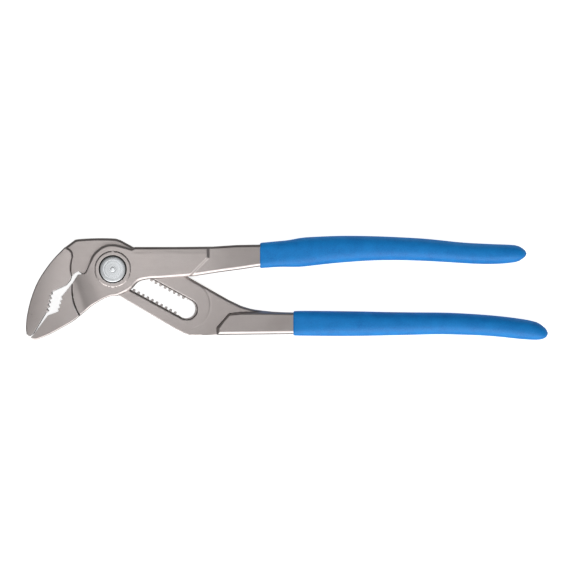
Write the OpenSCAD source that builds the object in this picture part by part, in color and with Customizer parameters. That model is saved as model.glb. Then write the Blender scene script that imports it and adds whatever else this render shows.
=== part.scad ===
// Tongue and groove pliers with a push button on the joint.
// The origin is on the pivot axis at the rear face of the joint. The handles
// lie along +X, the jaws point to -X and down, and the button faces +Z.

/* [Joint] */
// Thickness of the joint from its rear face to its front face
joint_t = 13; // [12.6:0.1:13.4]
// Thickness of the strip that slides through the joint
strip_t = 5.2; // [4.8:0.1:5.2]
// Gap between the strip and each cheek of the joint
cheek_gap = 0.1; // [0.05:0.01:0.15]
// How far the handles open, in degrees
open_angle = 40; // [20:1:40]

/* [Jaws and handles] */
// Thickness of both jaws
jaw_t = 10.4; // [9:0.1:11]
// Thickness of the steel shanks behind the joint
shank_t = 8.4; // [8:0.1:8.8]
// Thickness of the dipped grips
grip_t = 12.2; // [11.6:0.1:12.6]

/* [Slot] */
// Angle of the slot below the handles, in degrees
slot_angle = 28.5; // [28:0.1:29]
// Distance from one tooth of the slot to the next
tooth_pitch = 2.6; // [2.5:0.05:2.7]
// Half width of the smooth slot in front of the teeth
slot_r = 5.4; // [5.3:0.05:5.5]

/* [Button] */
// Radius of the button
button_r = 6.45; // [6:0.05:6.6]
// How far the button goes in
button_travel = 1.9; // [1.8:0.05:1.95]

/* [Hidden] */
$fn = 96;

// Heights of the layers of the joint
window_z0 = 4;
strip_z0 = window_z0 + cheek_gap;
strip_z1 = strip_z0 + strip_t;
window_z1 = strip_z1 + cheek_gap;
mid_z = (strip_z0 + strip_z1) / 2;
teeth_z1 = strip_z0 + 1.8;
collar_h = 0.4;
bearing_z1 = window_z1 + 0.9;

// Walls of the window, measured from the pivot
jaw_wall = 11.75;
handle_wall = 14.9;
window_reach = 90;

// Slot and its teeth
slot_end = 42.1;
tooth_tip = 3.6;
tooth_root = 4.7;
tooth_count = 17;
tooth_play = 0.1;
valley_half = 0.55;

// Bolt, measured from the pivot axis
bolt_r = slot_r - 0.05;
spigot_r = 3.3;
ring_r = 6;
ring_z0 = 3.1;
ring_z1 = 4;
neck_half = tooth_tip - 0.15;
head_z0 = teeth_z1 + button_travel + 0.2;
button_z0 = 12.4;
button_z1 = 14;
stem_r = 2;
stem_z0 = 10.5;
spring_bore_r = 2.2;
spring_bore_z1 = 9.2;
counterbore_r = button_r + 0.55;
collar_r = counterbore_r + 1.9;
ring_bore_r = ring_r + 0.05;
washer_recess = 0.35;

// Parts behind the bolt
cap_r = 7;
cap_t = 0.9;
washer_t = 0.3;
washer_r = 2.6;
washer_hole_r = 0.9;
spring_r = 1.8;
spring_wire_r = 0.3;
spring_turns = 9;
spring_z0 = cap_t + washer_t;

// Extra depth of a cut past the face it opens
cut = 1;

// Colours
steel = [0.66, 0.63, 0.61];
bright_steel = [0.82, 0.83, 0.85];
spring_steel = [0.45, 0.45, 0.47];
blue = [0.07, 0.44, 0.74];

// A place given along the slot and across it, in the frame of the part
function slot_point(u, v) = [u * cos(slot_angle) + v * sin(slot_angle),
                             v * cos(slot_angle) - u * sin(slot_angle)];

// Points of an arc about the pivot
function pivot_arc(r, from, to, steps = 8) =
    [for (i = [0:steps]) let (a = from + (to - from) * i / steps) [r * cos(a), r * sin(a)]];

// Points of a smooth curve through every point of a list
function curve(p, steps = 5) = [
    for (i = [0:len(p) - 2], s = [0:steps - 1])
        let (a = p[max(i - 1, 0)], b = p[i], c = p[i + 1], d = p[min(i + 2, len(p) - 1)], t = s / steps)
        0.5 * (2 * b + (c - a) * t + (2 * a - 5 * b + 4 * c - d) * t * t
               + (3 * b - a - 3 * c + d) * t * t * t),
    p[len(p) - 1]
];

// A row of jaw teeth from one tip to the last, each cut square to the row
function jaw_teeth(first, last, count, depth) =
    let (step = (last - first) / (count - 1), across = [-step[1], step[0]] / norm(step) * depth)
    [for (i = [0:count - 1]) each [first + step * i, first + step * (i + 0.55) + across]];

// A plate with a given outline and height range
module plate(outline, z0, z1) {
    translate([0, 0, z0])
        linear_extrude(z1 - z0)
            polygon(outline);
}

// A round solid on the pivot axis
module disc(r, z0, z1) {
    translate([0, 0, z0])
        cylinder(r = r, h = z1 - z0);
}

// A closed skin over rings that all have the same number of points
module skin(rings) {
    n = len(rings[0]);
    m = len(rings);
    sides = [for (i = [0:m - 2], j = [0:n - 1])
        [i * n + j, i * n + (j + 1) % n, (i + 1) * n + (j + 1) % n, (i + 1) * n + j]];
    start = [for (j = [n - 1:-1:0]) j];
    end = [for (j = [0:n - 1]) (m - 1) * n + j];
    polyhedron([for (ring = rings) each ring], concat([start], sides, [end]));
}

// Cheeks of the joint, with the boss around the bolt and the panel behind it
cheek_outline = concat(
    curve([[-15.6, -22.6], [-11.2, -18.8], [-5.2, -15.1], [-1, -13.5], [2.2, -13.3], [7.5, -11.2]]),
    curve([[9.8, -9.4], [13, -6.2], [18, -5], [24, -4.7], [33, -4]]),
    [[37, -3.4], [40.5, -1.1], [47.5, 5.7], [48, 11.1], [11, 11.1]],
    curve([[9.4, 10.3], [6, 11.3], [0.5, 12.5], [-5, 11.5], [-10, 7.2], [-12, 2.2], [-13.6, -1.4]]),
    [[-14.7, -2.2], [-15.7, -2.1]]
);

// Lower jaw, which is one piece with the cheeks
lower_jaw_outline = concat(
    curve([[-17.4, -2.6], [-19.4, -5.7], [-21.6, -8.7], [-25.3, -13.3]]),
    jaw_teeth([-25.8, -13.8], [-27.6, -19.7], 4, 1.05),
    [[-27.3, -21.1], [-32.5, -23.1], [-39.4, -32.35], [-41, -34]],
    curve([[-40.4, -34.8], [-38.7, -35.3], [-36.3, -34.6], [-32.2, -32.9], [-26.2, -29.7], [-20.2, -26.2],
           [-15, -22.1], [-11.2, -18.8], [-8, -16.6]]),
    [[-8, -8], [-14, -2.6]]
);

// Upper jaw, up to the arc where it becomes the thin strip
upper_jaw_outline = concat(
    [[-39.5, -32], [-41.6, -33.5], [-43, -32.7]],
    curve([[-43.4, -29.6], [-42.9, -23.6], [-40.8, -14.6], [-37.1, -5.6], [-31, 3.4], [-24.1, 10.8]]),
    curve([[-23.2, 10.5], [-21.5, 9.5], [-20.4, 8]], 3),
    pivot_arc(21.1, 163, 191),
    [[-21.3, -5.6], [-23.2, -7.9], [-30.5, -11.3]],
    jaw_teeth([-30.2, -12.4], [-32, -20.8], 5, -1.15)
);

// Thin strip that carries the slot
strip_outline = concat(
    curve([[-24.1, 10.8], [-20.1, 13.8], [-18, 14.9], [-11, 15.4], [-4, 15.5], [1.5, 15.3]]),
    [slot_point(-3.6, 14.6), slot_point(30, 14.6), slot_point(58, 14.1)],
    curve([[64, -18.3], [70, -20], [79.7, -21.2], [90, -21.7]]),
    [[90, -32.4], [52, -32.8]],
    curve([[45, -33], [40.7, -33.1], [37, -32.6], slot_point(42, -11.4)]),
    [slot_point(-14, -9.4)],
    curve([[-17.2, -1], [-19.4, -2.3], [-21.2, -4.4]]),
    [[-24, -4.4]]
);

// Stations along a grip: place, top edge, bottom edge and share of the full thickness
upper_grip_stations = [
    [73.2, 13.2, 0.4, 0.85], [82, 14.1, 1, 0.88], [88, 14.7, 1, 0.92], [94, 15.8, 1.1, 0.96],
    [100, 16.2, 1.8, 0.98], [115, 16.8, 3.3, 1], [134, 16.5, 4.4, 1], [155, 15.4, 4.1, 1],
    [176, 13.3, 2.9, 0.98], [190, 12.6, 2.5, 0.95], [201, 12.1, 3.4, 0.82],
    [205.2, 10.2, 5.5, 0.56], [206.9, 8.4, 7.2, 0.16]];
lower_grip_stations = [
    [89.9, -20.8, -33.3, 0.85], [96, -20.7, -33.4, 0.92], [115, -20.9, -33.5, 0.98],
    [134, -21.2, -33.3, 1], [150, -21.5, -32.9, 1], [167, -21.7, -32.6, 1], [188, -22.9, -33.4, 0.98],
    [203, -24.6, -34.9, 0.92], [211.5, -26.3, -35.4, 0.76], [215.7, -29, -34.6, 0.5],
    [217.6, -31.4, -32.8, 0.13]];
skin_t = 1.1;
core_start = 100;
core_share = 0.75;

// Outline of the steel inside a grip, from the stations less the skin
function core_outline(stations) =
    let (inner = [for (s = stations) if (s[0] >= core_start && s[3] > core_share) s], rows = curve(inner, 3))
    concat([for (r = rows) [r[0], r[1] - skin_t]],
           [for (i = [len(rows) - 1:-1:0]) [rows[i][0], rows[i][2] + skin_t]]);

upper_core = core_outline(upper_grip_stations);
lower_core = core_outline(lower_grip_stations);

// Steel shank of the box lever, from inside the joint into its grip
upper_shank_outline = concat(
    [[22, -4.7], [33, -4], [40.7, -3.4], [52.7, -1.6], [64.7, 0], [73, 1.3], [92, 2.2]],
    [for (i = [len(upper_core) - 1:-1:0]) upper_core[i]],
    [[92, 13.8], [73, 12.3], [62, 12.1], [50, 11.3], [22, 11]]
);

// Steel shank of the slot lever, from its step to the end of its grip
lower_shank_outline = concat(
    [[52.2, -32.8], [51.9, -29.2], [58, -22.3], [64, -21.6], [90, -21.7]],
    lower_core,
    [[90, -32.4]]
);

// Everything that the strip sweeps as the handles open
module window() {
    half = open_angle / 2;
    toward = [cos(90 - slot_angle - half), sin(90 - slot_angle - half)] / cos(half);
    closed = [cos(slot_angle), -sin(slot_angle)] * window_reach;
    open = [cos(slot_angle + open_angle), -sin(slot_angle + open_angle)] * window_reach;
    jaw_corner = -jaw_wall * toward;
    handle_corner = handle_wall * toward;
    plate([jaw_corner, jaw_corner - closed, handle_corner - open,
           handle_corner, handle_corner + closed, jaw_corner + open], window_z0, window_z1);
}

// Both rows of slot teeth as one outline, each side moved inwards by play
function tooth_rows(play, first, last) =
    let (root = tooth_root - play, tip = tooth_tip - play,
         side = valley_half - play, flank = tooth_pitch / 2 - valley_half - play,
         row = [for (k = [first:last]) let (u = k * tooth_pitch)
                each [[u - flank, tip], [u - side, root], [u + side, root], [u + flank, tip]]])
    concat(row, [for (i = [len(row) - 1:-1:0]) [row[i][0], -row[i][1]]]);

// The smooth part of the slot, which takes the head of the bolt
module smooth_slot() {
    rotate(-slot_angle) {
        circle(r = slot_r);
        translate([0, -slot_r])
            square([slot_end, 2 * slot_r]);
        translate([slot_end, 0])
            circle(r = slot_r);
    }
}

// The toothed part of the slot
module toothed_slot() {
    intersection() {
        smooth_slot();
        rotate(-slot_angle) {
            polygon(tooth_rows(0, -3, tooth_count - 2));
            translate([slot_end - 0.6, 0])
                circle(r = tooth_root);
        }
    }
}

module box_lever() {
    color(steel)
        difference() {
            union() {
                plate(cheek_outline, 0, joint_t);
                plate(lower_jaw_outline, mid_z - jaw_t / 2, mid_z + jaw_t / 2);
                plate(upper_shank_outline, mid_z - shank_t / 2, mid_z + shank_t / 2);
                disc(collar_r, joint_t - cut, joint_t + collar_h);
            }
            window();
            disc(slot_r, window_z1 - cut, bearing_z1 + cut);
            disc(counterbore_r, bearing_z1, joint_t + collar_h + cut);
            disc(ring_bore_r, 0, window_z0 + cut);
            disc(cap_r, -cut, cap_t);
        }
}

module slot_lever() {
    color(steel)
        difference() {
            union() {
                plate(upper_jaw_outline, mid_z - jaw_t / 2, mid_z + jaw_t / 2);
                plate(strip_outline, strip_z0, strip_z1);
                plate(lower_shank_outline, mid_z - shank_t / 2, mid_z + shank_t / 2);
            }
            translate([0, 0, strip_z0 - cut])
                linear_extrude(strip_t + 2 * cut)
                    toothed_slot();
            translate([0, 0, teeth_z1])
                linear_extrude(strip_t)
                    smooth_slot();
        }
}

// The bolt turns with the slot lever: its teeth stand in the teeth of the slot
module joint_bolt() {
    color(bright_steel)
        difference() {
            union() {
                disc(bolt_r, head_z0, button_z0);
                translate([0, 0, ring_z1])
                    linear_extrude(head_z0 - ring_z1 + cut)
                        intersection() {
                            circle(r = bolt_r);
                            rotate(-slot_angle)
                                square([4 * bolt_r, 2 * neck_half], center = true);
                        }
                translate([0, 0, ring_z1])
                    linear_extrude(teeth_z1 - ring_z1 - tooth_play)
                        intersection() {
                            circle(r = bolt_r);
                            rotate(-slot_angle)
                                polygon(tooth_rows(tooth_play, -2, 2));
                        }
                disc(spigot_r, ring_z0, ring_z1 + cut);
            }
            disc(spring_bore_r, 0, spring_bore_z1);
            disc(washer_r + 0.2, 0, ring_z0 + washer_recess);
            disc(stem_r, stem_z0, button_z0 + cut);
        }
}

// Holds the bolt from behind and guides it in the rear cheek
module retaining_ring() {
    color(bright_steel)
        difference() {
            disc(ring_r, ring_z0, ring_z1);
            disc(spigot_r, ring_z0 - cut, ring_z1 + cut);
        }
}

module push_button() {
    color(bright_steel)
        rotate_extrude()
            polygon([[0, stem_z0], [stem_r, stem_z0], [stem_r, button_z0], [button_r, button_z0],
                     [button_r, button_z1 - 0.5], [button_r - 0.4, button_z1 - 0.15], [4, button_z1],
                     [1.1, button_z1], [0.7, button_z1 - 0.3], [0, button_z1 - 0.35]]);
}

module bolt_spring() {
    height = spring_bore_z1 - spring_z0 - 2 * spring_wire_r - 0.1;
    steps = 16 * spring_turns;
    color(spring_steel)
        skin([for (i = [0:steps]) let (a = 360 * spring_turns * i / steps)
            [for (j = [0:5]) let (b = 60 * j, r = spring_r + spring_wire_r * cos(b))
                [r * cos(a), r * sin(a), spring_z0 + spring_wire_r + height * i / steps
                                         + spring_wire_r * sin(b)]]]);
}

module spring_washer() {
    color(bright_steel)
        difference() {
            disc(washer_r, cap_t, cap_t + washer_t);
            disc(washer_hole_r, cap_t - cut, cap_t + washer_t + cut);
        }
}

module closure_cap() {
    color(steel)
        disc(cap_r, 0, cap_t);
}

// A dipped grip: rounded rings at its stations, open for the steel inside
module grip(stations, core) {
    sides = 20;
    squareness = 0.45;
    color(blue)
        difference() {
            skin([for (s = curve(stations, 3))
                [for (j = [0:sides - 1]) let (a = 360 * j / sides)
                    [s[0],
                     (s[1] + s[2]) / 2 + (s[1] - s[2]) / 2 * sign(cos(a)) * pow(abs(cos(a)), squareness),
                     mid_z + s[3] * grip_t / 2 * sign(sin(a)) * pow(abs(sin(a)), squareness)]]]);
            plate(core, mid_z - shank_t / 2, mid_z + shank_t / 2);
        }
}

module upper_grip() {
    grip(upper_grip_stations, upper_shank_outline);
}

module lower_grip() {
    grip(lower_grip_stations, lower_shank_outline);
}

box_lever();
slot_lever();
joint_bolt();
retaining_ring();
push_button();
bolt_spring();
spring_washer();
closure_cap();
upper_grip();
lower_grip();
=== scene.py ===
import math

import bmesh
import bpy
import numpy as np
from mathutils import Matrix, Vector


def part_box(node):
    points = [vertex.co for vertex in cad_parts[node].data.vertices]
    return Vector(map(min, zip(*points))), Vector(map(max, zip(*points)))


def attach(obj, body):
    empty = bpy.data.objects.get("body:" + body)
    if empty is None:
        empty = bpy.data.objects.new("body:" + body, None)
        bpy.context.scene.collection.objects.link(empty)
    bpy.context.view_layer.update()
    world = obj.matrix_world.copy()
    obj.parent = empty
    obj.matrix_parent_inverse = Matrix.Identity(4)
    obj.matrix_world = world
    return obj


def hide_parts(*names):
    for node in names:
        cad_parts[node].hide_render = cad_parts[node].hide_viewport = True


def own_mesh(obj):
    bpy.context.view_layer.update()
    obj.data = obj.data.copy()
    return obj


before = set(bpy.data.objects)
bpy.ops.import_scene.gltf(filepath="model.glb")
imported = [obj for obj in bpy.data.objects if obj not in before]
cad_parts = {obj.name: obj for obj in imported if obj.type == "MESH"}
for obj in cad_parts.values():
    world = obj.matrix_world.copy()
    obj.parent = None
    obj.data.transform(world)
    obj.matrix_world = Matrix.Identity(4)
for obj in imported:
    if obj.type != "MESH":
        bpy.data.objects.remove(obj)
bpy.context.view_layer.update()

MM = 0.001
CELL = 0.3

# Heights of the joint's layers and of the levers' faces, as the CAD has them
PANEL = (0.0, 13.0)
JAW = (1.5, 11.9)
SHANK = (2.5, 10.9)
STRIP = (4.1, 9.3)
WINDOW = (4.0, 9.4)
TEETH_TOP = 5.9
MID = 6.7

SLOT_ANGLE = math.radians(28.5)
OPEN_ANGLE = math.radians(40.0)
JAW_EDGE = 0.65
UPPER_EDGE = 1.25
LOWER_EDGE = 1.7


# ---------------------------------------------------------------- distances

def section(node, height):
    """The closed outlines, in mm, where a level plane cuts a CAD node, the longest first."""
    bm = bmesh.new()
    bm.from_mesh(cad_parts[node].data)
    bmesh.ops.remove_doubles(bm, verts=bm.verts, dist=1e-6)
    geometry = bm.verts[:] + bm.edges[:] + bm.faces[:]
    cut = bmesh.ops.bisect_plane(bm, geom=geometry, plane_co=(0, 0, height * MM), plane_no=(0, 0, 1))
    edges = {e for e in cut["geom_cut"] if isinstance(e, bmesh.types.BMEdge)}
    outlines = []
    while edges:
        edge = min(edges, key=lambda e: tuple(e.verts[0].co))
        edges.discard(edge)
        loop = [edge.verts[0], edge.verts[1]]
        while loop[-1] is not loop[0]:
            step = next((e for e in loop[-1].link_edges if e in edges), None)
            if step is None:
                break
            edges.discard(step)
            loop.append(step.other_vert(loop[-1]))
        outlines.append(np.array([v.co[:2] for v in loop[:-1]]) / MM)
    bm.free()
    return sorted(outlines, key=lambda o: -np.ptp(o, axis=0).sum())


def outline_distance(loops, x, y):
    """Distance to closed outlines in the XY plane."""
    nearest = np.full(np.broadcast(x, y).shape, np.inf)
    inside = np.zeros(nearest.shape, bool)
    for loop in loops:
        for (ax, ay), (bx, by) in zip(loop, np.roll(loop, -1, axis=0)):
            ex, ey = bx - ax, by - ay
            share = np.clip(((x - ax) * ex + (y - ay) * ey) / max(ex * ex + ey * ey, 1e-12), 0, 1)
            nearest = np.minimum(nearest, (x - ax - share * ex) ** 2 + (y - ay - share * ey) ** 2)
            if ay != by:
                inside ^= ((ay > y) != (by > y)) & (x < ax + (y - ay) * ex / ey)
    return np.where(inside, -1.0, 1.0) * np.sqrt(nearest)


def segment_distance(x, y, start, end):
    """Distance to a straight segment in the XY plane."""
    ex, ey = end[0] - start[0], end[1] - start[1]
    share = np.clip(((x - start[0]) * ex + (y - start[1]) * ey) / (ex * ex + ey * ey), 0, 1)
    return np.hypot(x - start[0] - share * ex, y - start[1] - share * ey)


def both(a, b, radius=0.0):
    """What two distances share, with its outer edge rounded to a radius."""
    a, b = a + radius, b + radius
    return np.hypot(np.maximum(a, 0), np.maximum(b, 0)) + np.minimum(np.maximum(a, b), 0) - radius


def either(a, b, radius=0.0):
    """Two distances joined, with a fillet of a radius in the corner between them."""
    return -both(-a, -b, radius)


def less(a, b, radius=0.0):
    """The first distance with the second cut out of it."""
    return both(a, -b, radius)


def slab(z, low, high):
    return np.abs(z - (low + high) / 2) - (high - low) / 2


def smooth(t):
    """A step from 0 to 1 as t goes from 0 to 1."""
    t = np.clip(t, 0, 1)
    return t * t * (3 - 2 * t)


def across_slot(x, y, turned=0.0):
    """How far a place lies above the slot's centre line, with the slot lever turned open."""
    return x * math.sin(SLOT_ANGLE + turned) + y * math.cos(SLOT_ANGLE + turned)


# -------------------------------------------------------------- mesh making

def surface(name, solid, low, high):
    """A mesh of the surface where solid(x, y, z) is zero. Each cell that the surface passes
    gets one vertex, moved to where the tangent planes in the cell meet, so creases stay sharp.
    The mesh keeps how sharply it is bent at each vertex, for the painted shade in the corners and the
    lighter edges of its material."""
    probe, rounds, push, furthest = 0.01, 12, 1.4, 0.6 * CELL
    axes = [np.arange(low[k], high[k] + CELL, CELL) for k in range(3)]
    value = solid(axes[0][:, None, None], axes[1][None, :, None], axes[2][None, None, :])
    shape = value.shape
    strides = np.array([shape[1] * shape[2], shape[2], 1])
    places, cells = [], []
    for k in range(3):
        near = np.take(value, range(shape[k] - 1), axis=k)
        far = np.take(value, range(1, shape[k]), axis=k)
        index = np.argwhere((near < 0) != (far < 0))
        a, b = near[tuple(index.T)], far[tuple(index.T)]
        place = np.array(low) + CELL * index
        place[:, k] += CELL * a / (a - b)
        first, second = strides[(k + 1) % 3], strides[(k + 2) % 3]
        corner = index @ strides
        ring = np.stack([corner, corner - first, corner - first - second, corner - second], axis=1)
        ring[a > 0] = ring[a > 0][:, ::-1]
        places.append(place)
        cells.append(ring)
    places, cells = np.concatenate(places), np.concatenate(cells)
    quads = np.unique(cells, return_inverse=True)[1].reshape(-1, 4)

    normals = np.empty_like(places)
    for k in range(3):
        ahead, behind = places.copy(), places.copy()
        ahead[:, k] += probe
        behind[:, k] -= probe
        normals[:, k] = solid(*ahead.T) - solid(*behind.T)
    normals /= np.maximum(np.linalg.norm(normals, axis=1, keepdims=True), 1e-12)

    owner = quads.ravel()
    source = np.repeat(np.arange(len(places)), 4)
    count = np.bincount(owner)

    def cell_mean(vectors):
        return np.stack([np.bincount(owner, vectors[:, k]) / count for k in range(3)], axis=1)

    centre = cell_mean(places[source])
    vertices = centre.copy()
    for _ in range(rounds):
        offset = ((places[source] - vertices[owner]) * normals[source]).sum(axis=1)
        vertices += push * cell_mean(normals[source] * offset[:, None])
    vertices = np.clip(vertices, centre - furthest, centre + furthest)
    piece = add_mesh(name, vertices * MM, quads.tolist())

    face_bend = bend(solid, vertices)[quads].mean(axis=1)
    bent = np.bincount(owner, np.repeat(face_bend, 4)) / count
    piece.data.attributes.new("bend", "FLOAT", "POINT").data.foreach_set("value", bent)
    return piece


def bend(solid, places, reach=0.15):
    """How sharply a surface is bent, per mm: above zero along edges, below zero in corners."""
    total = -6 * solid(*places.T)
    for k in range(3):
        for way in (-reach, reach):
            moved = places.copy()
            moved[:, k] += way
            total += solid(*moved.T)
    return total / reach ** 2


def add_mesh(name, vertices, faces, crease=40):
    """A smooth-shaded object, with edges kept sharp where its faces meet at more than crease degrees."""
    mesh = bpy.data.meshes.new(name)
    mesh.from_pydata(np.asarray(vertices).tolist(), [], faces)
    mesh.update()
    mesh.shade_smooth()
    mesh.set_sharp_from_angle(angle=math.radians(crease))
    piece = bpy.data.objects.new(name, mesh)
    bpy.context.scene.collection.objects.link(piece)
    return piece


def loft(name, rings):
    """A closed skin over rings of the same number of points, each end closed with a fan."""
    rings = np.asarray(rings)
    count, sides = rings.shape[:2]
    vertices = np.concatenate([rings.reshape(-1, 3), rings[[0, -1]].mean(axis=1)])
    faces = []
    for i in range(count - 1):
        for j in range(sides):
            k = (j + 1) % sides
            faces.append((i * sides + j, i * sides + k, (i + 1) * sides + k, (i + 1) * sides + j))
    last = (count - 1) * sides
    for j in range(sides):
        k = (j + 1) % sides
        faces.append((count * sides, k, j))
        faces.append((count * sides + 1, last + j, last + k))
    return add_mesh(name, vertices * MM, faces)


def lathe(name, profile, sides=96):
    """A solid of revolution on the pivot axis, from (radius, height) points that go up the outside
    from the axis to the axis."""
    angles = np.arange(sides) * 2 * math.pi / sides
    rings = [[(max(r, 1e-4) * math.cos(a), max(r, 1e-4) * math.sin(a), z) for a in angles]
             for r, z in profile]
    return loft(name, rings)


# ------------------------------------------------------------------- levers

def box_lever_height(x, y, panel, jaw, shank):
    """Height of one face of the box lever, from the levels of its panel, jaw and shank. The jaw
    drops off a line into a shallow valley, then rises to the boss; the panel ends in a slope."""
    side = math.copysign(1.0, panel - MID)
    from_line = x + 20.7 - 0.025 * np.maximum(-y - 11, 0) ** 2
    drop = side * 0.8 * smooth(from_line / 0.6)
    from_crease = 0.95 * (x + 17.4) + 0.31 * (y + 9)
    up_slope = np.minimum((from_crease + np.hypot(from_crease, 0.8)) / 24, 1)
    rise = (panel - jaw + side * 0.8) * (1 - (1 - up_slope) ** 3) * smooth((from_line - 0.6) / 2)
    level = jaw - drop + rise
    bevel = 0.035 * np.maximum(y - 7.9, 0) - 0.02 * np.exp(-((y - 7.6) / 0.6) ** 2)
    level = level - side * bevel * smooth((x - 9) / 3)
    past_end = np.maximum(x - 47.6, (x - y - 41.9) / math.sqrt(2))
    shank = shank + side * 1.1 * (1 - smooth((x - 46) / 44))
    return shank + (level - shank) * (1 - smooth(past_end / 1.6 + 0.5))


def jaw_gap_distance(x, y):
    """Distance to the line along the middle of the gap between the jaws."""
    line = [(-17.5, -1.0), (-20.8, -6.5), (-27.8, -13.6), (-29.8, -21.2), (-35.8, -27.6), (-41.4, -33.8)]
    return np.minimum.reduce([segment_distance(x, y, a, b) for a, b in zip(line, line[1:])])


def edge_radius(x, y):
    """Edges are round, except beside the gap between the jaws, where they are ground sharp."""
    half_gap = np.interp(y, [-34, -24, -20, -12, -8, -2], [0.9, 1.4, 3.9, 3.9, 2.2, 2.4])
    lower_edge = JAW_EDGE + (LOWER_EDGE - JAW_EDGE) * smooth((x + 4) / 12)
    outer = lower_edge + (UPPER_EDGE - lower_edge) * smooth((y - 2) / 3)
    return 0.12 + (outer - 0.12) * smooth((jaw_gap_distance(x, y) - half_gap) / 1.5)


def box_lever_solid():
    plan = section("box_lever", 10.0)[:1]

    def solid(x, y, z):
        radius = edge_radius(x, y)
        front = z - box_lever_height(x, y, PANEL[1], JAW[1], SHANK[1])
        rear = box_lever_height(x, y, PANEL[0], JAW[0], SHANK[0]) - z
        body = both(both(outline_distance(plan, x, y), front, radius), rear, radius)
        away = np.hypot(x, y)
        body = either(body, both(both(away - 8.9, z - 13.3, 0.15), 9.0 - z), 0.1)
        closed, opened = across_slot(x, y), across_slot(x, y, OPEN_ANGLE)
        jaw_side = np.maximum(closed, opened) + 11.75
        handle_side = 14.9 - np.minimum(closed, opened)
        window = both(-np.minimum(jaw_side, handle_side), slab(z, *WINDOW))
        body = less(body, window, 0.2)
        body = less(body, both(away - 7.0, 10.3 - z), 0.12)
        body = less(body, away - 5.4)
        body = less(body, both(away - 6.05, z - 4.0))
        return less(body, both(away - 7.0, z - 0.9), 0.15)

    return solid


def slot_lever_solid():
    plan = section("slot_lever", 6.7)[:1]
    jaw = section("slot_lever", 11.4)[:1]
    shank = [loop for loop in section("slot_lever", 10.2) if loop[:, 0].max() > 60][:1]
    teeth = section("slot_lever", 5.0)[1:2]
    slot_end = (42.1 * math.cos(SLOT_ANGLE), -42.1 * math.sin(SLOT_ANGLE))

    def solid(x, y, z):
        radius = edge_radius(x, y)
        swirl = 0.07 * np.exp(-((np.hypot(x - 36.3, y + 17.9) - 12.4) / 0.4) ** 2) * smooth((x - 38) / 4)
        upper_side = smooth(across_slot(x, y) / 4 + 1)
        strip_edge = np.minimum(radius, 0.35 + 0.9 * upper_side)
        strip = both(outline_distance(plan, x, y), slab(z, *STRIP) + swirl, strip_edge)
        jaw_edge = np.minimum(radius, 0.35 + 0.2 * smooth((x + 28) / 3))
        from_spine = x + 30.1 - 0.3 * y
        crown = 0.004 * from_spine ** 2
        thick_jaw = both(outline_distance(jaw, x, y), slab(z, *JAW) + crown, jaw_edge)
        shank_edge = LOWER_EDGE + (UPPER_EDGE - LOWER_EDGE) * smooth((y + 29) / 3)
        thick_shank = both(outline_distance(shank, x, y), slab(z, *SHANK), shank_edge)
        body = either(strip, thick_jaw, 0.4)
        body = either(body, thick_shank, 0.3)
        slot = both(segment_distance(x, y, (0, 0), slot_end) - 5.4, TEETH_TOP - z)
        body = less(body, slot, 0.3)
        return less(body, both(outline_distance(teeth, x, y), z - TEETH_TOP - 1), 0.2)

    return solid


def lever(name, solid, body, low_x, high_x, low_y, high_y, grip):
    """One lever, cut off inside its grip, where its plain core is out of sight."""
    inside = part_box(grip)[0][0] / MM + 14

    def trimmed(x, y, z):
        return both(solid(x, y, z), x - inside)

    piece = surface(name, trimmed, (low_x, low_y, -1.1), (min(high_x, inside + 1), high_y, 14.5))
    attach(piece, body)
    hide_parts(name.removesuffix("_steel"))
    return piece


def make_levers():
    upper = lever("box_lever_steel", box_lever_solid(), "box_lever", -42, 92, -37, 18, "upper_grip")
    lower = lever("slot_lever_steel", slot_lever_solid(), "slot_lever", -45, 108, -35, 18, "lower_grip")
    upper.data.materials.append(steel_material("box_lever_look", True))
    lower.data.materials.append(steel_material("slot_lever_look", False))


# -------------------------------------------------------------------- grips

def grip_extents(node):
    """Rows of place, bottom, top and half thickness, in mm, cut across a CAD grip."""
    low, high = (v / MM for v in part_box(node))
    rows = []
    for share in np.concatenate([np.linspace(0.002, 0.95, 40), np.linspace(0.955, 0.999, 14)]):
        place = low[0] + (high[0] - low[0]) * share
        bm = bmesh.new()
        bm.from_mesh(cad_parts[node].data)
        geometry = bm.verts[:] + bm.edges[:] + bm.faces[:]
        cut = bmesh.ops.bisect_plane(bm, geom=geometry, plane_co=(place * MM, 0, 0), plane_no=(1, 0, 0))
        points = np.array([v.co for v in cut["geom_cut"] if isinstance(v, bmesh.types.BMVert)]) / MM
        rows.append((place, points[:, 1].min(), points[:, 1].max(), np.ptp(points[:, 2]) / 2))
        bm.free()
    return np.array(rows)


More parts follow.
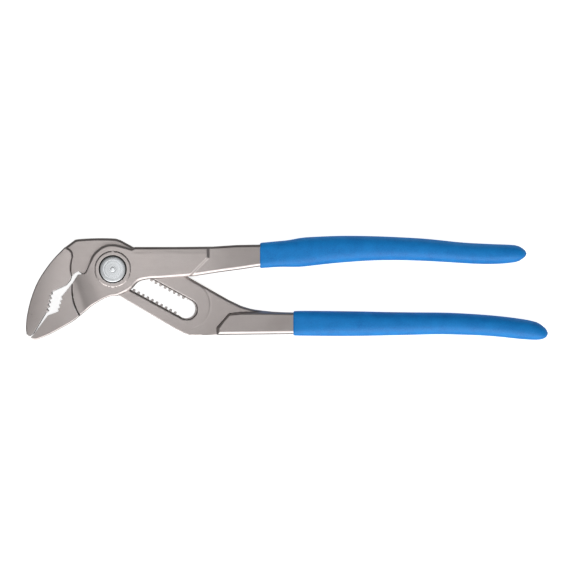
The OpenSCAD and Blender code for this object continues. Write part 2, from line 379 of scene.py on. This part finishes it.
def grip(name, node, body, seed, material):
    """A dipped grip: a rounded lip where the dip begins, a long soft body, and a blunt nib."""
    rows = grip_extents(node)
    start, end = rows[0, 0], rows[-1, 0]
    lip_length, nib_length = 0.9, 0.8
    random = np.random.default_rng(seed)
    swell = random.normal(size=12) * 0.05
    quarter = np.linspace(0, math.pi / 2, 8)
    places = np.concatenate([start + lip_length * (1 - np.cos(quarter)),
                             np.linspace(start + lip_length, end - 8, 110)[1:],
                             np.linspace(end - 8, end - nib_length, 20)[1:],
                             end - nib_length * np.cos(quarter[1:])])
    angles = np.linspace(0, 2 * math.pi, 72, endpoint=False)
    rings = []
    for x in places:
        bottom, top, thick = (np.interp(x, rows[:, 0], rows[:, k]) for k in (1, 2, 3))
        lip = 1 - min((x - start) / lip_length, 1)
        nib = 1 - min((end - x) / nib_length, 1)
        inset = 0.06 + 0.75 * (1 - math.sqrt(max(0.0, 1 - lip ** 2)))
        keep = math.sqrt(max(4e-4, 1 - nib ** 2))
        square = 2 / (2.45 + 1.6 * math.exp(-(x - start) / 16))
        wave = 0.02 * math.sin(x / 9 + seed) + 0.5 * np.interp(x, np.linspace(start, end, 12), swell)
        half = ((top - bottom) / 2 - inset) * keep + min(wave, 0.05)
        depth = (thick - inset) * keep + min(wave, 0.05)
        rings.append([(x,
                       (top + bottom) / 2 + half * np.sign(math.cos(a)) * abs(math.cos(a)) ** square,
                       MID + depth * np.sign(math.sin(a)) * abs(math.sin(a)) ** square)
                      for a in angles])
    piece = loft(name, rings)
    piece.data.materials.append(material)
    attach(piece, body)
    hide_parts(node)


def make_grips():
    dip = dip_material("blue_dip_look")
    grip("upper_grip_dip", "upper_grip", "box_lever", 3, dip)
    grip("lower_grip_dip", "lower_grip", "slot_lever", 8, dip)


# ------------------------------------------------------------------- button

def make_button():
    """The turned button: a rounded rim, a shallow crown in two steps and a small raised centre."""
    rim, low, top = 6.45, 12.4, 14.0
    profile = [(0, 10.6), (1.95, 10.6), (1.95, low), (rim - 0.15, low), (rim, low + 0.15),
               (rim, 13.45), (6.38, 13.58), (6.2, 13.68)]
    profile += [(r, 13.82 - 0.14 * ((r - 4.4) / 1.7) ** 2) for r in np.linspace(6.0, 4.6, 6)]
    profile += [(4.4, 13.8)]
    profile += [(r, 13.92 - 0.1 * (r / 4.2) ** 2) for r in np.linspace(4.2, 1.6, 8)]
    profile += [(r, top - 0.16 * (r / 1.4) ** 2) for r in np.linspace(1.4, 0, 8)]
    piece = lathe("push_button_turned", profile)
    piece.data.materials.append(turned_material("turned_button_look", (0.68, 0.70, 0.72)))
    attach(piece, "bolt")
    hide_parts("push_button")


def make_closure_cap():
    """The pressed cap behind the bolt, with a chamfered rim and a shallow dish."""
    dish = [(r, 0.02 + 0.12 * (1 - (r / 5.2) ** 2)) for r in np.linspace(0, 5.2, 8)]
    profile = dish + [(5.6, 0.02), (6.6, 0.02), (6.95, 0.25), (6.95, 0.85), (0, 0.85)]
    piece = lathe("closure_cap_pressed", profile)
    piece.data.materials.append(turned_material("pressed_cap_look", (0.58, 0.56, 0.55)))
    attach(piece, "box_lever")
    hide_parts("closure_cap")


def make_spring():
    """The coil behind the bolt, with closed ends."""
    low, high = (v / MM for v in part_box("bolt_spring"))
    wire, turns, steps = 0.3, 9, 24
    coil_r = high[0] - wire
    rings = []
    for i in range(turns * steps + 1):
        turn = i / steps
        climb = smooth((turn - 0.6) / 2) * 0.15 + 0.85 * np.clip((turn - 0.8) / (turns - 1.6), 0, 1)
        z = low[2] + wire + (high[2] - low[2] - 2 * wire) * min(climb, 1.0)
        a = 2 * math.pi * turn
        ring = []
        for b in np.linspace(0, 2 * math.pi, 10, endpoint=False):
            away = coil_r + wire * math.cos(b)
            ring.append((away * math.cos(a), away * math.sin(a), z + wire * math.sin(b)))
        rings.append(ring)
    piece = loft("bolt_spring_coil", rings)
    piece.data.materials.append(turned_material("spring_wire_look", (0.36, 0.36, 0.38)))
    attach(piece, "joint_seat")
    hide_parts("bolt_spring")
    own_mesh(piece)


def dress_cad_nodes():
    """Better materials for the pieces whose CAD shape is right."""
    bright = turned_material("turned_bolt_look", (0.72, 0.73, 0.75))
    for node in ("joint_bolt", "retaining_ring", "spring_washer"):
        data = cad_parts[node].data
        data.materials.clear()
        data.materials.append(bright)


# ---------------------------------------------------------------- materials

class Shader:
    """A node material with one Principled shader, built by short calls."""

    def __init__(self, name, color, **sockets):
        self.material = bpy.data.materials.new(name)
        self.material.use_nodes = True
        self.tree = self.material.node_tree
        self.shader = self.tree.nodes["Principled BSDF"]
        self.shader.inputs["Base Color"].default_value = (*color, 1)
        for socket, value in sockets.items():
            self.shader.inputs[socket.replace("_", " ")].default_value = value
        self.place = self.tree.nodes.new("ShaderNodeTexCoord").outputs["Object"]

    def node(self, kind, inputs=None, **settings):
        made = self.tree.nodes.new("ShaderNode" + kind)
        for key, value in settings.items():
            setattr(made, key, value)
        for key, value in (inputs or {}).items():
            if isinstance(value, bpy.types.NodeSocket):
                self.tree.links.new(value, made.inputs[key])
            else:
                made.inputs[key].default_value = value
        return made

    def noise(self, scale, detail=3.0, stretch=(1, 1, 1), roughness=0.5):
        where = self.node("Mapping", {"Vector": self.place, "Scale": stretch}).outputs[0]
        return self.node("TexNoise", {"Vector": where, "Scale": scale, "Detail": detail,
                                      "Roughness": roughness}).outputs["Fac"]

    def from_pivot(self):
        flat = self.node("VectorMath", {0: self.place, 1: (1, 1, 0)}, operation="MULTIPLY").outputs[0]
        return self.node("VectorMath", {0: flat}, operation="LENGTH").outputs["Value"]

    def remap(self, value, low, high, to_low, to_high):
        return self.node("MapRange", {"Value": value, "From Min": low, "From Max": high,
                                      "To Min": to_low, "To Max": to_high}).outputs["Result"]

    def add(self, a, b):
        return self.node("Math", {0: a, 1: b}, operation="ADD").outputs[0]

    def mix(self, share, first, second):
        made = self.node("Mix", {0: share}, data_type="RGBA")
        for index, value in ((6, first), (7, second)):
            if isinstance(value, bpy.types.NodeSocket):
                self.tree.links.new(value, made.inputs[index])
            else:
                made.inputs[index].default_value = (*value, 1)
        return made.outputs[2]

    def bump(self, height, strength, distance, normal=None):
        inputs = {"Height": height, "Strength": strength, "Distance": distance}
        if normal is not None:
            inputs["Normal"] = normal
        return self.node("Bump", inputs).outputs["Normal"]

    def drive(self, socket, value):
        self.tree.links.new(value, self.shader.inputs[socket])


def steel_material(name, bored):
    """Forged steel, blasted to a satin and lightly brushed along the tool, lighter on its sharply
    rounded edges, with painted shade darkening its corners and a painted black shade in the bore round
    the button."""
    look = Shader(name, (0.52, 0.475, 0.46), Metallic=0.94)
    blast = look.noise(4200, 2.0)
    brushed = look.noise(2200, 2.0, stretch=(0.06, 1, 1))
    cloudy = look.noise(70, 4.0)
    bent = look.node("Attribute", attribute_name="bend").outputs["Fac"]
    # painted shade: the colour goes towards near black in corners and creases, where the surface bends
    # inward
    painted_shade = look.remap(bent, -1.25, -3.3, 0.0, 0.9)
    if bored:
        # painted shade: everything within 7 mm of the pivot axis, the bore round the button, is painted
        # near black
        painted_bore_shade = look.remap(look.from_pivot(), 0.00701, 0.00709, 1.0, 0.0)
        painted_shade = look.node("Math", {0: painted_shade, 1: painted_bore_shade}, operation="MAXIMUM").outputs[0]
    tone = look.mix(look.remap(cloudy, 0.3, 0.7, 0, 1), (0.49, 0.443, 0.428), (0.56, 0.513, 0.498))
    tone = look.mix(look.remap(blast, 0.3, 0.7, 0, 0.3), tone, (0.37, 0.33, 0.315))
    # lighter base colour where outer edges are sharply rounded
    tone = look.mix(look.remap(bent, 1.25, 4.2, 0.0, 1.0), tone, (0.64, 0.61, 0.6))
    # the painted shade mixes the colour towards near black
    look.drive("Base Color", look.mix(painted_shade, tone, (0.03, 0.027, 0.025)))
    satin = look.add(look.remap(cloudy, 0.3, 0.7, 0.30, 0.36), look.remap(brushed, 0.3, 0.7, -0.03, 0.03))
    look.drive("Roughness", satin)
    fine = look.bump(blast, 0.2, 0.00003)
    look.drive("Normal", look.bump(brushed, 0.08, 0.00003, fine))
    return look.material


def turned_material(name, color):
    """Bright steel turned on a lathe: fine rings about the pivot axis, and a painted highlight, a lighter
    colour, right round the axis.
    """
    look = Shader(name, color, Metallic=1.0)
    away = look.from_pivot()
    along = look.node("CombineXYZ", {"X": away}).outputs[0]
    rings = look.node("TexNoise", {"Vector": along, "Scale": 1500, "Detail": 3.0}).outputs["Fac"]
    wide = look.node("TexNoise", {"Vector": along, "Scale": 420, "Detail": 1.0}).outputs["Fac"]
    tone = look.mix(look.remap(wide, 0.35, 0.65, 0, 1), tuple(0.86 * c for c in color), color)
    # painted highlight: a lighter colour within about 1.5 mm of the pivot axis
    centre = look.remap(away, 0.0013, 0.0017, 1.0, 0.0)
    look.drive("Base Color", look.mix(centre, tone, tuple(min(1.0, 1.25 * c) for c in color)))
    look.drive("Roughness", look.remap(rings, 0.3, 0.7, 0.22, 0.36))
    look.drive("Normal", look.bump(rings, 0.35, 0.00008))
    return look.material


def dip_material(name):
    """Dipped vinyl: a deep blue skin with a fine orange peel and faint mottling."""
    look = Shader(name, (0.003, 0.17, 0.5), Roughness=0.45, IOR=1.45)
    look.shader.inputs["Specular IOR Level"].default_value = 0.35
    peel = look.noise(900, 3.0)
    grain = look.noise(2400, 2.0)
    mottle = look.noise(160, 5.0)
    tone = look.mix(look.remap(mottle, 0.3, 0.7, 0, 1), (0.002, 0.145, 0.46), (0.004, 0.195, 0.56))
    look.drive("Base Color", look.mix(look.remap(grain, 0.4, 0.75, 0, 0.45), tone, (0.012, 0.29, 0.68)))
    look.drive("Roughness", look.remap(mottle, 0.3, 0.7, 0.4, 0.52))
    fine = look.bump(grain, 0.25, 0.00005)
    look.drive("Normal", look.bump(peel, 0.3, 0.00012, fine))
    return look.material


# -------------------------------------------------------------------- stage

def make_stage():
    """A plain white floor that glows a little, as a light table does, just under the tool."""
    size, drop = 6.0, 0.0003
    corners = [(-size, -size, -drop), (size, -size, -drop), (size, size, -drop), (-size, size, -drop)]
    floor = add_mesh("floor", corners, [(0, 1, 2, 3)])
    look = Shader("floor_look", (0.55, 0.55, 0.55), Roughness=0.9)
    look.shader.inputs["Emission Color"].default_value = (1, 1, 1, 1)
    look.shader.inputs["Emission Strength"].default_value = 0.86
    floor.data.materials.append(look.material)
    floor.visible_glossy = False


def make_light():
    """Soft studio light: a long bright screen on the -Y side, a dimmer ceiling, dark walls on the
    +Y side and at both ends over a grey horizon, and soft lamps over the joint and the grips."""
    world = bpy.data.worlds.new("studio")
    bpy.context.scene.world = world
    world.use_nodes = True
    nodes, links = world.node_tree.nodes, world.node_tree.links
    direction = nodes.new("ShaderNodeTexCoord").outputs["Generated"]
    parts = nodes.new("ShaderNodeSeparateXYZ")
    links.new(direction, parts.inputs[0])

    def ramp(value, low, high, to_low, to_high):
        step = nodes.new("ShaderNodeMapRange")
        step.interpolation_type = "SMOOTHSTEP"
        links.new(value, step.inputs["Value"])
        settings = {"From Min": low, "From Max": high, "To Min": to_low, "To Max": to_high}
        for key, number in settings.items():
            step.inputs[key].default_value = number
        return step.outputs["Result"]

    def combine(operation, first, second):
        made = nodes.new("ShaderNodeMath")
        made.operation = operation
        for socket, value in zip(made.inputs, (first, second)):
            if isinstance(value, bpy.types.NodeSocket):
                links.new(value, socket)
            else:
                socket.default_value = value
        return made.outputs[0]

    screen = ramp(parts.outputs["Y"], -0.6, -0.18, 2.6, 0.0)
    ceiling = ramp(parts.outputs["Y"], -0.1, 0.55, 0.46, 0.01)
    sideways = combine("ABSOLUTE", parts.outputs["X"], 0.0)
    ends = ramp(sideways, 0.25, 0.85, 1.0, 0.12)
    above = ramp(parts.outputs["Z"], -0.12, 0.1, 0.03, 1.0)
    light = combine("MULTIPLY", combine("ADD", screen, ceiling), combine("MULTIPLY", ends, above))
    horizon = ramp(parts.outputs["Z"], 0.25, 0.6, 0.22, 0.0)
    links.new(combine("MAXIMUM", light, horizon), nodes["Background"].inputs["Strength"])
    nodes["Background"].inputs["Color"].default_value = (1, 1, 1, 1)

    add_lamp("joint_lamp", (0.006, 0.01, 0.3), 0.1, 0.03)
    fill = add_lamp("grip_fill", (0.1, 0.45, 0.5), 0.5, 1.2)
    fill.visible_glossy = False


def add_lamp(name, place, size, power):
    """A round soft lamp that leans towards the middle line of the tool, out of the picture."""
    data = bpy.data.lights.new(name, "AREA")
    data.shape = "DISK"
    data.size = size
    data.energy = power
    lamp = bpy.data.objects.new(name, data)
    lamp.location = place
    aim = (place[0], -0.01, 0.0)
    lamp.rotation_euler = (math.atan2(place[1] - aim[1], -place[2]) + math.pi, 0, 0)
    lamp.visible_camera = False
    bpy.context.scene.collection.objects.link(lamp)
    return lamp


def make_camera():
    """Straight down on the tool from far off, with the handles to the right."""
    data = bpy.data.cameras.new("camera")
    camera = bpy.data.objects.new("camera", data)
    bpy.context.scene.collection.objects.link(camera)
    view_width = 0.288
    data.sensor_width = 36
    data.lens = 500
    centre = (0.0875, -0.0094, MID * MM)
    distance = view_width * data.lens / data.sensor_width
    camera.location = (centre[0], centre[1], centre[2] + distance)
    data.clip_end = 20
    bpy.context.scene.camera = camera
    bpy.context.scene.view_settings.view_transform = "Standard"


make_camera()
make_light()
make_stage()
make_levers()
make_grips()
make_button()
make_closure_cap()
make_spring()
dress_cad_nodes()
